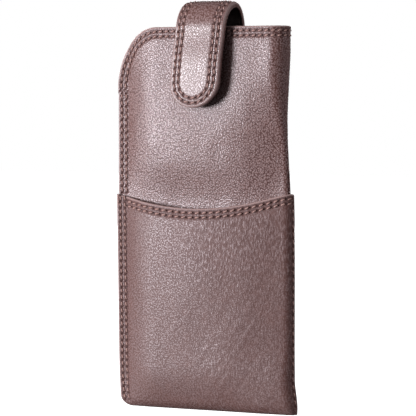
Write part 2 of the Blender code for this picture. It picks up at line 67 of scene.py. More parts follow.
# The pouch, from the frame
WRAP_LOW, WRAP_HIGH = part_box("outer_wrap")
EDGE_X = WRAP_LOW.x
SIDE_X = WRAP_HIGH.x
HEIGHT = WRAP_HIGH.z
MIDDLE_Y = (WRAP_LOW.y + WRAP_HIGH.y) / 2
BELLY = (WRAP_HIGH.y - WRAP_LOW.y) / 2
FOLD_X = SIDE_X - 4 * MM
SPAN = FOLD_X - EDGE_X
FALL = 4.8 * MM  # how far the panels curve together towards the fold
HEM_SINK = 3.4 * MM  # how far the pocket's hem presses the panel in
HEM_SINK_AT = (93 * MM, 17 * MM)  # the height of that hollow, and its reach
LEAST_HALF = 2.4 * MM  # half the depth that the pouch keeps at its fold
DENT = 1.8 * MM  # of the front panel, beside the fold and above the hem
DENT_X = (38 * MM, 13 * MM)
DENT_Z = (103 * MM, 18 * MM)
DENT_REACH = 4.5 * MM  # how deep inside the leather the dent has died out
WAIST = 1.7 * MM  # how slack the fold is under the mouth
WAIST_AT = (134 * MM, 30 * MM)
FLARE = 1.4 * MM  # how far the fold's foot stands out
EDGE_PULL = (1.3 * MM, 0.9 * MM)  # how far the sewn edge draws in, slowly and then quickly, to the foot
PULL_REACH = (100 * MM, 26 * MM)  # the heights at which it starts to
MOUTH = 7.0 * MM  # half the pouch's depth at its mouth
MOUTH_START = 152 * MM
SEAM = 2.1 * MM  # half its depth at the sewn edge
SEAM_WIDTH = 6 * MM
PUFF_WIDTH = 17 * MM
GAPE = 1.2 * MM
CORNER = (23.5 * MM, 30 * MM)  # the mouth's rounded corner, across and up
FOOT_RADIUS = 5.0 * MM
FOOT_CURL = 4 * MM
FOOT_SHARE = 0.55
SEAM_TOP = HEIGHT - CORNER[1]
SKIN = 1.0 * MM  # thickness of the leather
GAP = 0.3 * MM
ROLL = 0.8 * MM  # radius of a turned leather edge

# The slip pocket
POCKET_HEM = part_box("pocket_panel")[1].z
HEM_SAG = 6 * MM
POCKET_ROOM = 1.8 * MM  # how far the slip pocket stands off the panel
POCKET_PINCH = 0.9 * MM  # how far its hem draws it back
PINCH_AT = (97 * MM, 9 * MM)
POCKET_SKIN = 2.0 * MM
POCKET_END = 1.74  # the station round the fold where the pocket's leather ends
SIDE_ROW = 1.43  # the station of the stitches down the fold

# The strap, from the frame
JOINTS = {joint["name"]: joint for joint in frame["joints"]}
REAR_BEND = Vector(JOINTS["strap_swing"]["pos_m"])
FRONT_BEND = Vector(JOINTS["tab_peel"]["pos_m"])
ANCHOR_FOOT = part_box("strap_anchor_outer")[0].z
TAB_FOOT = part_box("strap_tab_outer")[0].z
STRAP_X = REAR_BEND.x
STRAP_LEAN = 4.8 * MM
STRAP_WIDTH = 24 * MM
STRAP_HUG = (0.9 * MM, 1.4 * MM)  # how much nearer the mouth it passes than its two ends lie
STRAP_HALF = 1.5 * MM
STRAP_CORNER = 5 * MM  # radius of the corners of its sewn end
LOOP_RADIUS = (REAR_BEND.y - FRONT_BEND.y) / 2
LOOP_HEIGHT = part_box("strap_loop_outer")[1].z - REAR_BEND.z - STRAP_HALF
CROWN = math.pi / 2 * (LOOP_RADIUS + LOOP_HEIGHT) / 2  # from a bend to the top of the loop

# Stitches
PITCH = 3.1 * MM
STRAP_PITCH = 3.3 * MM
POCKET_PITCH = 3.4 * MM
ROW_OFFSETS = (2.1 * MM, 4.35 * MM)  # of the two rows from a sewn edge
HEM_OFFSETS = (2.0 * MM, 4.1 * MM)  # of the two rows from the pocket's hem
THREAD_RADIUS = 0.4 * MM
STRAND_SIDES = 8

# Rows of a leather's grid
FOOT_ROWS = np.array([0, 0.05, 0.2, 0.5, 0.9, 1.4, 2.0, 2.7, 3.4]) * MM


def ease(value):
    share = np.clip(value, 0, 1)
    return share * share * (3 - 2 * share)


def bell(value, centre, reach):
    return np.exp(-(((value - centre) / reach) ** 2))


def spread(start, end, step):
    """Values from start to end, both included, no further apart than step."""
    return np.linspace(start, end, max(int(math.ceil(abs(end - start) / step)), 1) + 1)


def waves(u, v, scale_u, scale_v, seed, turn=0.0):
    """Smooth noise from -1 to 1 over a surface, stretched by its two scales and turned by an angle."""
    a = (u * math.cos(turn) + v * math.sin(turn)) / scale_u
    b = (v * math.cos(turn) - u * math.sin(turn)) / scale_v
    flat = [noise.noise((x, y, seed)) for x, y in zip(a.ravel(), b.ravel())]
    return np.array(flat).reshape(a.shape)


# ---- the pouch's shape


def edge_x(z, inset=0.0):
    """x of the sewn edge, which is rounded at its foot."""
    below = np.clip(FOOT_RADIUS - z, 0, FOOT_RADIUS)
    slow, quick = (np.clip(1 - z / reach, 0, 1) for reach in PULL_REACH)
    pulled = EDGE_PULL[0] * slow + EDGE_PULL[1] * quick**2
    return EDGE_X + 0.5 * MM + inset + pulled + FOOT_RADIUS - np.sqrt(FOOT_RADIUS**2 - below**2)


def side_x(z):
    """x of the fold: a slack waist under the mouth, and a flare at the foot."""
    waist = WAIST * bell(z, *WAIST_AT)
    flare = FLARE * ease((16 * MM - z) / (14 * MM))
    return SIDE_X + 1.2 * MM - waist + flare


def edge_top(x):
    inward = np.clip((EDGE_X + CORNER[0] - x) / CORNER[0], 0, 1)
    return SEAM_TOP + CORNER[1] * np.sqrt(1 - inward**2)


def fall_depth(z, sink):
    """How far the panel has fallen where the fold's round begins: little at the mouth and the foot."""
    most = FALL * ease((HEIGHT - 18 * MM - z) / (42 * MM)) * (1 - 0.4 * ease((36 * MM - z) / (30 * MM)))
    return np.minimum(most, panel_half(FOLD_X, z, sink) - LEAST_HALF)


def panel_half(x, z, sink):
    """Half the depth of the panels before they curve together towards the fold."""
    full = BELLY - (BELLY - MOUTH) * ease((z - MOUTH_START) / (HEIGHT - MOUTH_START))
    full = full - sink * bell(z, *HEM_SINK_AT)
    foot = 0.5 * (1 - 0.4 * ease((x - 12 * MM) / (22 * MM)))
    full = full * (1 - foot * np.clip(1 - z / (20 * MM), 0, 1) ** 2)
    edge = SEAM + GAPE * ease((z - SEAM_TOP) / CORNER[1])
    puff = np.clip((x - EDGE_X - SEAM_WIDTH) / PUFF_WIDTH, 0, 1)
    return edge + (full - edge) * (1 - (1 - puff) ** 2)


def foot_curl(z):
    below = 1 - np.clip(z / FOOT_CURL, 0, 1)
    return FOOT_SHARE + (1 - FOOT_SHARE) * np.sqrt(1 - below**2)


def wrap(station, z, depth=0.0, inset=0.0, foot=0.0, sink=HEM_SINK):
    """Points of the pouch's section, depth inside the leather's outer face or outside it if negative."""
    station, z = np.broadcast_arrays(np.asarray(station, float), np.asarray(z, float))
    side = np.where(station < 1.5, -1.0, 1.0)
    across = np.minimum(station, 3 - station)
    start = edge_x(z, inset)
    fall = fall_depth(z, sink)
    fall_start = -9 * MM + 34 * MM * ease((z - 112 * MM) / (56 * MM))
    # The fall's curve, half squared and half cubed, ends with a slope of 2.5.
    lean = np.arctan(2.5 * fall / (FOLD_X - fall_start))
    curl = foot_curl(z - foot)
    end_half = np.maximum(panel_half(FOLD_X, z, sink) - fall - depth, 0.4 * MM) * curl
    radius = end_half / np.cos(lean)
    join = side_x(z) - depth - radius * (1 - np.sin(lean))
    x = start + (join - start) * np.minimum(across, 1)
    fallen = np.clip((x - fall_start) / (join - fall_start), 0, 1)
    fallen_half = panel_half(x, z, sink) - fall * (0.5 * fallen**2 + 0.5 * fallen**3)
    half = np.maximum(fallen_half - depth, 0.4 * MM) * curl
    turn = lean + (math.pi / 2 - lean) * np.clip((across - 1) / 0.5, 0, 1)
    y = np.where(across <= 1, half, radius * np.cos(turn))
    x = np.where(across <= 1, x, join + radius * (np.sin(turn) - np.sin(lean)))
    y = MIDDLE_Y + side * y
    dented = np.where((side < 0) & (depth >= 0), np.maximum(1 - depth / DENT_REACH, 0), 0)
    pressed_in = dent(x, z) * dented
    return np.stack([x, y + pressed_in, z], axis=-1)


def dent(x, z):
    """How far the front panel is pressed in beside the fold, just above the pocket's hem."""
    return DENT * bell(x, *DENT_X) * bell(z, *DENT_Z)


def station_at(x, z):
    start = edge_x(z)
    return (x - start) / (wrap(1.0, z)[..., 0] - start)


def hem_height(x):
    across = np.clip((x - (EDGE_X + FOLD_X) / 2) / (SPAN / 2), -1.06, 1.2)
    across = across - 0.8 * np.maximum(across - 0.9, 0) ** 2
    return POCKET_HEM - HEM_SAG * (1 - np.abs(across) ** np.where(across < 0, 1.7, 2.1))


def pocket_room(x, z):
    rise = np.sin(math.pi * np.clip((x - EDGE_X - SEAM_WIDTH) / (SPAN - SEAM_WIDTH), 0, 1)) ** 1.3
    return rise * (POCKET_ROOM * ease((z + 4 * MM) / (100 * MM)) - POCKET_PINCH * bell(z, *PINCH_AT))


def pocket(station, z, lift=POCKET_SKIN):
    points = wrap(station, z, -lift, sink=0.15 * HEM_SINK)
    room = np.where(np.asarray(station) < 1, pocket_room(points[..., 0], points[..., 2]), 0)
    points[..., 1] -= room
    return points


# ---- the strap's shape


def strap(x, s, lift):
    """Points of the strap: x from its middle, s along it from the loop's top (negative to the rear),
    and lift outward."""
    x, s = np.broadcast_arrays(np.asarray(x, float), np.asarray(s, float))
    angle = np.clip(np.abs(s) / CROWN, 0, 1) * math.pi / 2
    past = np.maximum(np.abs(s) - CROWN, 0)
    hand = np.where(s > 0, -1.0, 1.0)
    hug = np.where(s > 0, STRAP_HUG[0], STRAP_HUG[1]) * (1 - ease(past / (16 * MM)))
    middle_y = (REAR_BEND.y + FRONT_BEND.y) / 2
    y = hand * (LOOP_RADIUS - hug) * np.sin(angle)
    z = REAR_BEND.z + LOOP_HEIGHT * np.cos(angle) - past
    across, up = np.sin(angle) / LOOP_RADIUS, np.cos(angle) / LOOP_HEIGHT
    length = np.sqrt(across**2 + up**2)
    lean = STRAP_LEAN * np.clip(s / (CROWN + FRONT_BEND.z - TAB_FOOT), 0, 1)
    return np.stack(
        [
            STRAP_X - lean + x,
            middle_y + y + lift * hand * across / length,
            z + lift * up / length,
        ],
        axis=-1,
    )


def end_distance(x, s, end, radius):
    """Distance from the outline of the strap, whose end at |s| = end has corners of that radius."""
    half = STRAP_WIDTH / 2
    from_side = half - np.abs(x)
    from_end = end - np.abs(s)
    corner_x = np.maximum(radius - from_side, 0)
    corner_s = np.maximum(radius - from_end, 0)
    in_corner = (corner_x > 0) & (corner_s > 0)
    return np.where(in_corner, radius - np.hypot(corner_x, corner_s), np.minimum(from_side, from_end))


# ---- meshes


def unit(vectors):
    return vectors / np.maximum(np.linalg.norm(vectors, axis=-1, keepdims=True), 1e-12)


def grid_normals(points):
    return unit(np.cross(np.gradient(points, axis=0), np.gradient(points, axis=1)))


def rim_wear_and_highlight(distance):
    """1 on the band beside an outline, where the turned leather is painted pale: partly rubbed wear,
    partly a painted highlight on the rolled edge; 0 further in.
    """
    return 1 - ease((distance - 0.4 * MM) / (0.35 * MM))


def coarse(count, step):
    kept = list(range(0, count - 1, step))
    return kept + [count - 1]


def put(name, points, faces, material, body, uv=None, values=None):
    """A mesh object from points and faces, riding on a CAD body, with a UV map and point values."""
    mesh = bpy.data.meshes.new(name)
    mesh.from_pydata([tuple(p) for p in points], [], faces)
    if uv is not None:
        layer = mesh.uv_layers.new(name="UVMap")
        corners = np.empty(len(mesh.loops), np.int32)
        mesh.loops.foreach_get("vertex_index", corners)
        layer.data.foreach_set("uv", np.asarray(uv, np.float32)[corners].ravel())
    for key, value in (values or {}).items():
        attribute = mesh.attributes.new(key, "FLOAT", "POINT")
        attribute.data.foreach_set("value", np.asarray(value, np.float32))
    mesh.validate()
    mesh.shade_smooth()
    mesh.materials.append(material)
    made = bpy.data.objects.new(name, mesh)
    bpy.context.scene.collection.objects.link(made)
    if body:
        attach(made, body)
    return made


def shell(name, outer, inner, material, body, uv, values=None, foot=False, step=4):
    """A closed sheet: a fine outer grid, an inner grid of every step-th point, and the rim between them.

    foot closes the underside of a grid that wraps round, with strips from each column to its mirror.
    """
    columns, rows = outer.shape[:2]
    cs, rs = coarse(columns, step), coarse(rows, step)
    if foot:
        kept = set(cs[: len(cs) // 2]) | {columns // 2 - 1}
        cs = sorted(kept | {columns - 1 - c for c in kept})
    flat_inner = inner[np.ix_(cs, rs)]
    points = np.concatenate([outer.reshape(-1, 3), flat_inner.reshape(-1, 3)])
    uvs = np.concatenate([uv.reshape(-1, 2), uv[np.ix_(cs, rs)].reshape(-1, 2)])
    start = columns * rows
    place_c = {c: i for i, c in enumerate(cs)}
    place_r = {r: i for i, r in enumerate(rs)}

    def out(c, r):
        return c * rows + r

    def into(c, r):
        return start + place_c[c] * len(rs) + place_r[r]

    faces = [
        (out(c, r), out(c + 1, r), out(c + 1, r + 1), out(c, r + 1))
        for c in range(columns - 1)
        for r in range(rows - 1)
    ]
    last, top = columns - 1, rows - 1
    for c, d in zip(cs, cs[1:]):
        faces += [(into(c, r), into(c, t), into(d, t), into(d, r)) for r, t in zip(rs, rs[1:])]
        faces.append([out(k, top) for k in range(c, d + 1)] + [into(d, top), into(c, top)])
        if not foot:
            faces.append([out(k, 0) for k in range(d, c - 1, -1)] + [into(c, 0), into(d, 0)])
    for r, t in zip(rs, rs[1:]):
        faces.append([out(0, k) for k in range(r, t + 1)] + [into(0, t), into(0, r)])
        faces.append([out(last, k) for k in range(t, r - 1, -1)] + [into(last, r), into(last, t)])
    if foot:
        for c in range(columns // 2 - 1):
            faces.append((out(c, 0), out(last - c, 0), out(last - c - 1, 0), out(c + 1, 0)))
        pairs = [(c, last - c) for c in cs[: len(cs) // 2]]
        for (a, b), (c, d) in zip(pairs, pairs[1:]):
            faces.append((into(a, 0), into(c, 0), into(d, 0), into(b, 0)))
    all_values = {}
    for key, value in (values or {}).items():
        all_values[key] = np.concatenate([value.ravel(), np.zeros(len(flat_inner.reshape(-1, 3)))])
    return put(name, points, faces, material, body, uvs, all_values)


# ---- stitches


class Row:
    """A row of stitches: evenly spaced holes along a line on a surface, with the surface's normals."""

    def __init__(self, line, normals, pitch=PITCH):
        steps = np.linalg.norm(np.diff(line, axis=0), axis=1)
        run = np.concatenate([[0], np.cumsum(steps)])
        count = max(int(round(run[-1] / pitch)), 1)
        at = np.linspace(0, run[-1], count + 1)

        def sampled(values, places):
            return np.stack([np.interp(places, run, values[:, k]) for k in range(3)], axis=1)

        self.holes = sampled(line, at)
        self.normals = unit(sampled(normals, at))
        self.tangents = unit(np.gradient(self.holes, axis=0))
        self.line = sampled(line, spread(0, run[-1], 0.5 * MM))


def surface_row(surface, a, b, pitch=PITCH):
    """A row through surface(a, b), an array function of two parameters, with its normals."""
    step_a, step_b = 1e-3, 0.1 * MM
    along = surface(a + step_a, b) - surface(a - step_a, b)
    up = surface(a, b + step_b) - surface(a, b - step_b)
    return Row(surface(a, b), unit(np.cross(along, up)), pitch)


def tree_of(places):
    tree = kdtree.KDTree(len(places))
    for i, place in enumerate(places):
        tree.insert(place, i)
    tree.balance()
    return tree


def press(points, rows, groove=0.2 * MM, hole=0.7 * MM):
    """How far the rows press each point of a surface in, and the painted shade of its needle holes and of
    the groove along each row.
    """
    shape = points.shape[:2]
    flat = points.reshape(-1, 3)
    holes = np.concatenate([row.holes for row in rows])
    tangents = np.concatenate([row.tangents for row in rows])
    sides = np.cross(tangents, np.concatenate([row.normals for row in rows]))
    line_tree = tree_of(np.concatenate([row.line for row in rows]))
    hole_tree = tree_of(holes)
    pressed, dark = np.zeros(len(flat)), np.zeros(len(flat))
    slant = math.radians(35)
    for k, place in enumerate(flat):
        distance = line_tree.find(place)[2]
        if distance > 2.5 * MM:
            continue
        pressed[k] = groove * math.exp(-((distance / (0.8 * MM)) ** 2))
        _, i, _ = hole_tree.find(place)
        away = place - holes[i]
        a, b = away @ tangents[i], away @ sides[i]
        long = (a * math.cos(slant) + b * math.sin(slant)) / (0.7 * MM)
        wide = (b * math.cos(slant) - a * math.sin(slant)) / (0.4 * MM)
        mark = math.exp(-(long**2) - wide**2)
        pressed[k] += hole * mark
        # Painted shade: dark in each needle hole, and a fainter band of shade along the row's groove.
        dark[k] = max(mark, 0.4 * math.exp(-((distance / (0.95 * MM)) ** 2)))
    return pressed.reshape(shape), dark.reshape(shape)


class Strands:
    """Strands of thread, each a capped tube, gathered into one mesh."""

    def __init__(self):
        self.points, self.faces, self.uvs, self.holes = [], [], [], []

    def add(self, centres, sides, overs, radii, twists, holes):
        """One strand: at each centre the two directions across it, its radius, twist and painted shade,
        which darkens where it dips into a hole.
        """
        first = len(self.points)
        for centre, side, over, radius, twist, hole in zip(centres, sides, overs, radii, twists, holes):
            for j in range(STRAND_SIDES):
                turn = math.tau * j / STRAND_SIDES
                self.points.append(centre + (side * math.cos(turn) + over * math.sin(turn)) * radius)
                self.uvs.append((j, twist))
                self.holes.append(hole)
        ring = [(j, (j + 1) % STRAND_SIDES) for j in range(STRAND_SIDES)]
        last = len(self.points) - STRAND_SIDES
        for low in range(first, last, STRAND_SIDES):
            high = low + STRAND_SIDES
            self.faces += [(low + j, low + k, high + k, high + j) for j, k in ring]
        self.faces.append([first + j for j in range(STRAND_SIDES)][::-1])
        self.faces.append([last + j for j in range(STRAND_SIDES)])

    def put(self, name, body):
        values = {"hole": self.holes}
        return put(name, np.array(self.points), self.faces, THREAD, body, np.array(self.uvs), values)


def bartack():
    """Strands wound over the sewn edge just below the hem, which hold the pocket's corner down."""
    strands = Strands()
    turns = np.radians(spread(-80, 80, 10))
    for i, height in enumerate(spread(POCKET_HEM - 4.6 * MM, POCKET_HEM - 0.7 * MM, 1.1 * MM)):
        station = station_at(edge_x(height) + 0.9 * MM, height)
        front, back = pocket(station, height)[1], wrap(3 - station, height)[1]
        x = edge_x(height) + 1.5 * MM - 1.75 * MM * np.cos(turns)
        y = (front + back) / 2 + ((back - front) / 2 + 0.05 * MM) * np.sin(turns)
        route = np.stack([x, y, height + 0.35 * MM * np.sin(turns)], axis=-1)
        along = unit(np.gradient(route, axis=0))
        sides = unit(np.cross(along, (0.0, 0.0, 1.0)))
        count = len(route)
        twists = 0.6 * np.arange(count) + 9 * i
        radii = np.full(count, 0.95 * THREAD_RADIUS)
        strands.add(route, sides, np.cross(sides, along), radii, twists, np.zeros(count))
    made = strands.put("bartack_stitches", "case")
    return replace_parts(made, "pocket_bartack")


def stitch_thread(name, row, body, replaced):
    """The thread of a row: one arched strand from each hole to the next, its ends down in the holes."""
    strands = Strands()
    share = np.linspace(0, 1, 9)[:, None]
    arch = np.sin(math.pi * share) ** 0.6
    for i in range(len(row.holes) - 1):
        a, b = row.holes[i], row.holes[i + 1]
        normal = unit(row.normals[i] + row.normals[i + 1])
        side = np.cross(unit(b - a), normal)
        centres = a + (b - a) * (0.13 + 0.74 * share) + normal * (-0.6 + 0.62 * arch) * MM
        centres = centres + side * 0.2 * MM * np.cos(math.pi * share)
        radii = THREAD_RADIUS * (0.7 + 0.3 * arch[:, 0])
        count = len(centres)
        across = np.tile(side, (count, 1)), np.tile(normal, (count, 1))
        # 1 - arch is the painted shade, deepest at the strand's ends in the holes.
        strands.add(centres, *across, radii, 3 * (share[:, 0] + i), 1 - arch[:, 0])
    made = strands.put(name, body)
    if replaced:
        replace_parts(made, *replaced)
    return made


# ---- materials


class Nodes:
    """Short calls for building a material's node tree."""

    def __init__(self, name):
        self.material = bpy.data.materials.new(name)
        self.material.use_nodes = True
        self.tree = self.material.node_tree
        self.shader = self.tree.nodes["Principled BSDF"]

    def feed(self, socket, value):
        if isinstance(value, bpy.types.NodeSocket):
            self.tree.links.new(value, socket)
        else:
            socket.default_value = value

    def add(self, kind, inputs, output=0, **settings):
        """Adds a node, feeds its inputs by name or number, and gives back one of its outputs."""
        node = self.tree.nodes.new(kind)
        for key, value in settings.items():
            setattr(node, key, value)
        for key, value in inputs.items():
            self.feed(node.inputs[key], value)
        return node.outputs[output]

    def math(self, operation, a, b=0.0, c=0.0, clamp=False):
        return self.add("ShaderNodeMath", {0: a, 1: b, 2: c}, operation=operation, use_clamp=clamp)

    def uv(self, scale=(1, 1, 1), turn=0.0):
        place = self.add("ShaderNodeUVMap", {}, uv_map="UVMap")
        return self.add("ShaderNodeMapping", {"Vector": place, "Scale": scale, "Rotation": (0, 0, turn)})

    def noise(self, vector, scale, detail=2.0, roughness=0.5, distortion=0.0, output="Fac"):
        inputs = {"Vector": vector, "Scale": scale, "Detail": detail}
        inputs |= {"Roughness": roughness, "Distortion": distortion}
        return self.add("ShaderNodeTexNoise", inputs, output)

    def ramp(self, value, low, high, to_low=0.0, to_high=1.0):
        inputs = {"Value": value, "From Min": low, "From Max": high, "To Min": to_low, "To Max": to_high}
        return self.add("ShaderNodeMapRange", inputs, "Result", interpolation_type="SMOOTHSTEP")

    def blended(self, share, a, b):
        """a where share is 0 and b where it is 1."""
        return self.math("MULTIPLY_ADD", share, self.math("SUBTRACT", b, a), a)

    def pushed(self, vector, scale, reach):
        """The vector moved about by noise, so that what is drawn with it wanders."""
        inputs = {0: self.noise(vector, scale, output="Color"), 1: (reach, reach, 0.0), 2: vector}
        return self.add("ShaderNodeVectorMath", inputs, operation="MULTIPLY_ADD")

    def bump(self, height, distance):
        inputs = {"Height": height, "Distance": distance, "Strength": 1.0}
        return self.add("ShaderNodeBump", inputs, "Normal")

    def cells(self, vector, scale):
        """Distance from the nearest of a scatter of points."""
        inputs = {"Vector": vector, "Scale": scale}
        return self.add("ShaderNodeTexVoronoi", inputs, "Distance", feature="F1", voronoi_dimensions="2D")

    def solid_place(self, scale):
        """Place in a CAD solid, in millimetres times a scale."""
        place = self.add("ShaderNodeTexCoord", {}, "Object")
        inputs = {"Vector": place, "Scale": [number / MM for number in scale]}
        return self.add("ShaderNodeMapping", inputs)

    def split(self, vector):
        return [self.add("ShaderNodeSeparateXYZ", {0: vector}, axis) for axis in (0, 1)]

    def value(self, key):
        return self.add("ShaderNodeAttribute", {}, "Fac", attribute_name=key)

    def mixed(self, share, a, b):
        """A colour from a to b. The node has sockets for each data type: the colour ones are picked."""
        node = self.tree.nodes.new("ShaderNodeMix")
        node.data_type = "RGBA"
        colours = [socket for socket in node.inputs if socket.type == "RGBA"]
        for socket, value in zip([node.inputs[0], *colours], (share, a, b)):
            self.feed(socket, value)
        return next(socket for socket in node.outputs if socket.type == "RGBA")

    def shade(self, sockets):
        """Feeds the shader's sockets, by name, and gives back the material."""
        for key, value in sockets.items():
            self.feed(self.shader.inputs[key], value)
        return self.material


def rgb(red, green, blue):
    """A colour for a node, from the 0 to 255 values of a screen."""

    def linear(value):
        value /= 255
        return value / 12.92 if value <= 0.04045 else ((value + 0.055) / 1.055) ** 2.4

    return (linear(red), linear(green), linear(blue), 1.0)


def pearl_leather(name, relief=1.0, polish_and_painted_light=0.0, dull=0.0, shade=1.0):
    """Pebbled leather with a pearl finish: brown in the hollows of the grain, lilac-silver on its tops,
    which is partly the finish and partly painted shade and sparkle highlights of the grain.

    relief is the strength of the grain, polish makes it smoother and, as painted light, paler, dull takes
    its gloss away, and shade darkens it as painted shade. The mesh's values say where stitches paint
    shade into their holes and grooves (hole), where a turned edge is painted pale, as a highlight and as
    rubbed wear (edge), and where fine upright creases take over from the grain (crease).
    """
    n = Nodes(name)
    place = n.uv()
    hole, edge, crease = n.value("hole"), n.value("edge"), n.value("crease")
    domes = n.ramp(n.cells(n.pushed(place, 0.6, 0.6), 1.25), 0.0, 0.75, 1.0, 0.0)
    fine = n.noise(place, 1.25, 2, 0.6)
    grain = n.math("MULTIPLY_ADD", domes, 0.55, n.math("MULTIPLY", fine, 0.9))
    upright = n.noise(n.pushed(n.uv((1.3, 0.45, 1), math.radians(-11)), 0.5, 0.8), 1.0, 1, 0.5, 0.3)
    folds = n.math("MULTIPLY_ADD", upright, 1.8, n.math("MULTIPLY_ADD", grain, 0.5, -0.55))
    height = n.blended(crease, grain, folds)
    tops = n.ramp(height, 0.5, 1.1)
    broad = n.noise(place, 0.06, 3, 0.55)
    blotch = n.noise(place, 0.3, 2, 0.5)
    # The brown hollows and lilac-silver tops are partly the pearl finish and partly painted shade and
    # sparkle highlights of the grain.
    hollow = rgb(*(shade * (low - relief * 29) for low in (104, 72, 67)))
    # The polish term makes the tops paler as painted light, besides the real polish.
    top = rgb(*(shade * (high + relief * 33 + polish_and_painted_light * 10) for high in (118, 93, 93)))
    colour = n.mixed(tops, hollow, top)
    for share, over in (
        (n.ramp(broad, 0.38, 0.7, 0.0, 0.25), rgb(98, 64, 58)),
        (n.ramp(blotch, 0.45, 0.75, 0.0, 0.15), rgb(118, 82, 76)),
        # Painted highlight on the rolled edges, together with rubbed wear: the turned band is painted
        # pale.
        (n.math("MULTIPLY", edge, 0.9, clamp=True), rgb(156, 130, 128)),
        # Painted shade in the needle holes and along the stitch grooves.
        (n.math("MULTIPLY", hole, 0.95, clamp=True), rgb(58, 27, 24)),
    ):
        colour = n.mixed(share, colour, over)
    glossy = n.ramp(tops, 0.1, 0.9, 0.44 + dull, 0.23 - 0.03 * polish_and_painted_light + dull)
    rough = n.math("ADD", glossy, n.math("MULTIPLY", hole, 0.4))
    raised = n.math("MULTIPLY", height, n.math("MULTIPLY_ADD", crease, 0.7, 1.0))
    return n.shade({
        "Base Color": colour,
        "Roughness": n.math("MULTIPLY_ADD", edge, -0.1, rough),
        "IOR": 1.55,
        "Coat Weight": 0.25 * polish_and_painted_light,
        "Coat Roughness": 0.32,
        "Specular Tint": (0.95, 0.93, 1.0, 1.0),
        "Normal": n.bump(raised, (0.03 + 0.07 * relief) * MM),
    })


def plain_leather(name, colour, hollow, roughness=0.6):
    """A thin matt leather with a finer grain, for linings and facings."""
    n = Nodes(name)
    place = n.uv()
    grain = n.noise(place, 1.6, 4, 0.6)
    broad = n.noise(place, 0.1, 2)
    return n.shade({
        "Base Color": n.mixed(n.ramp(grain, 0.3, 0.7), hollow, colour),
        "Roughness": n.ramp(broad, 0.2, 0.8, roughness - 0.08, roughness + 0.08),
        "Normal": n.bump(grain, 0.08 * MM),
    })


def woven_cloth(name, colour, shade):
    """A plain-woven lining cloth."""
    n = Nodes(name)
    place = n.uv()
    warp, weft = (n.math("SINE", n.math("MULTIPLY", along, math.tau / 0.55)) for along in n.split(place))
    level = n.math("MULTIPLY_ADD", n.math("MULTIPLY", warp, weft), 0.5, 0.5)
    return n.shade({
        "Base Color": n.mixed(level, shade, colour),
        "Roughness": n.ramp(n.noise(place, 0.15, 3), 0.2, 0.8, 0.75, 0.95),
        "Sheen Weight": 0.2,
        "Normal": n.bump(level, 0.06 * MM),
    })


def foam(name):
    """Open-celled padding foam."""
    n = Nodes(name)
    depth = n.cells(n.uv(), 1.6)
    return n.shade({
        "Base Color": n.mixed(n.ramp(depth, 0.1, 0.7), rgb(70, 66, 66), rgb(112, 108, 106)),
        "Roughness": n.ramp(depth, 0.0, 0.8, 0.85, 1.0),
        "Normal": n.bump(depth, 0.2 * MM),
    })


def sewing_thread(name):
    """Twisted bonded thread: its plies run slantwise round each strand."""
    n = Nodes(name)
    around, along = n.split(n.uv())
    angle = n.math("MULTIPLY_ADD", around, math.tau / STRAND_SIDES, n.math("MULTIPLY", along, math.tau))
    plies = n.math("MULTIPLY_ADD", n.math("SINE", n.math("MULTIPLY", angle, 2.0)), 0.5, 0.5)
    fuzz = n.noise(n.uv(), 3.0, 2)
    colour = n.mixed(plies, rgb(128, 92, 87), rgb(184, 150, 144))
    colour = n.mixed(n.ramp(fuzz, 0.3, 0.7, 0.0, 0.3), colour, rgb(150, 114, 108))
    # Painted shade on the thread's ends, where they go down into the holes.
    colour = n.mixed(n.ramp(n.value("hole"), 0.2, 0.8), colour, rgb(50, 26, 24))
    return n.shade({"Base Color": colour, "Roughness": 0.5, "Normal": n.bump(plies, 0.06 * MM)})


def plated_metal(name, tone):
    """Plated metal with a fine uneven surface and a little tarnish."""
    n = Nodes(name)
    place = n.solid_place((1, 1, 1))
    tarnish = n.noise(place, 0.35, 3, 0.6)
    return n.shade({
        "Base Color": n.mixed(n.ramp(tarnish, 0.4, 0.7, 0.0, 0.6), tone, rgb(120, 108, 98)),
        "Roughness": n.ramp(tarnish, 0.35, 0.7, 0.22, 0.42),
        "Metallic": 1.0,
        "Normal": n.bump(n.noise(place, 2.2, 3), 0.01 * MM),
    })


def stiffening_board(name):
    """Grey-brown fibre board, which backs the snap's stud."""
    n = Nodes(name)
    fibres = n.noise(n.solid_place((1, 1, 0.4)), 1.4, 4, 0.7, 0.5)
    return n.shade({
        "Base Color": n.mixed(fibres, rgb(96, 84, 74), rgb(150, 136, 120)),
        "Roughness": n.ramp(fibres, 0.2, 0.8, 0.75, 0.95),
        "Normal": n.bump(fibres, 0.05 * MM),
    })


def carried_over():
    """Finishes for the snap's CAD solids, which keep their shapes."""
    nickel = plated_metal("snap_nickel", rgb(196, 190, 182))
    magnet = plated_metal("snap_magnet_coat", rgb(150, 150, 154))
    board = stiffening_board("stiffening_board")
    for node, material in (
        ("snap_stud", nickel),
        ("snap_stud_washer", nickel),
        ("snap_socket", nickel),
        ("snap_socket_washer", nickel),
        ("snap_magnet", magnet),
        ("snap_stud_patch", board),
    ):
        for slot in bpy.data.objects[node].material_slots:
            slot.material = material


LEATHER = pearl_leather("pearl_leather")
# The pocket's leather: rougher, with a lower grain, and darker as painted shade.
POCKET_LEATHER = pearl_leather("pearl_leather_soft_painted_shade", relief=0.45, dull=0.14, shade=0.92)
# The strap's leather: smoother and polished, and painted paler as if more lit.
STRAP_LEATHER = pearl_leather("pearl_leather_polished_painted_light", relief=0.65, polish_and_painted_light=1.0)
FACING = plain_leather("facing_leather", rgb(120, 92, 88), rgb(92, 66, 64))
STRAP_LINING = plain_leather("strap_lining", rgb(44, 30, 30), rgb(26, 16, 17), 0.5)
LINING = woven_cloth("lining_cloth", rgb(62, 48, 47), rgb(34, 25, 25))
THREAD = sewing_thread("sewing_thread")
FOAM = foam("padding_foam")


# ---- the pouch


